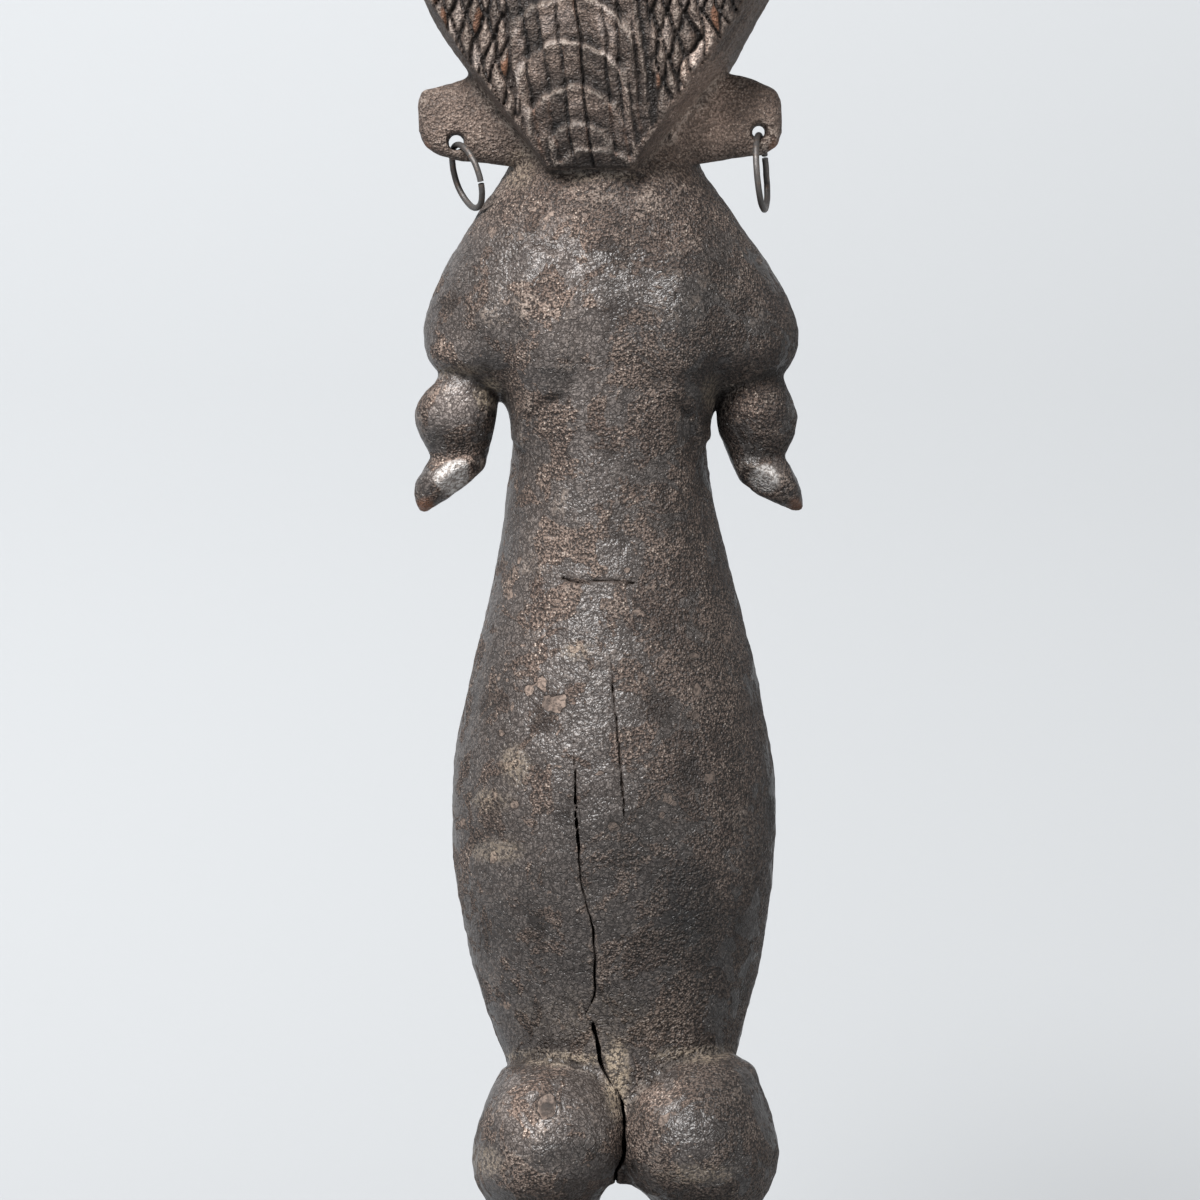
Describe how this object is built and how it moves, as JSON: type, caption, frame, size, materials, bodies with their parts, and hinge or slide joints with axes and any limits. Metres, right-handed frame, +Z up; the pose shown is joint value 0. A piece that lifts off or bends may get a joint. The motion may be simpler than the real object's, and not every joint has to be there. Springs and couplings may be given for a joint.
{
  "type": "carved wooden standing figure",
  "caption": "Upright figure carved from one block of dark wood: wedge of tiered hair, lug ears with open iron rings, short arms, long swelling trunk, bent legs on a low round base.",
  "frame": {"origin": "centre of the underside of the round base", "axes": "+Z up from the base to the crown, the face looks towards -Y, +X towards the figure's left"},
  "size_m": [0.116, 0.116, 0.486],
  "materials": {
    "dark_wood": "dark handled patina over a crusty, pitted surface, with red-brown wood in the cuts",
    "iron_wire": "dull dark iron wire with a little brown rust"
  },
  "bodies": {
    "root": {"figure": "dark_wood", "left_ear_ring": "iron_wire", "right_ear_ring": "iron_wire"}
  },
  "joints": []
}
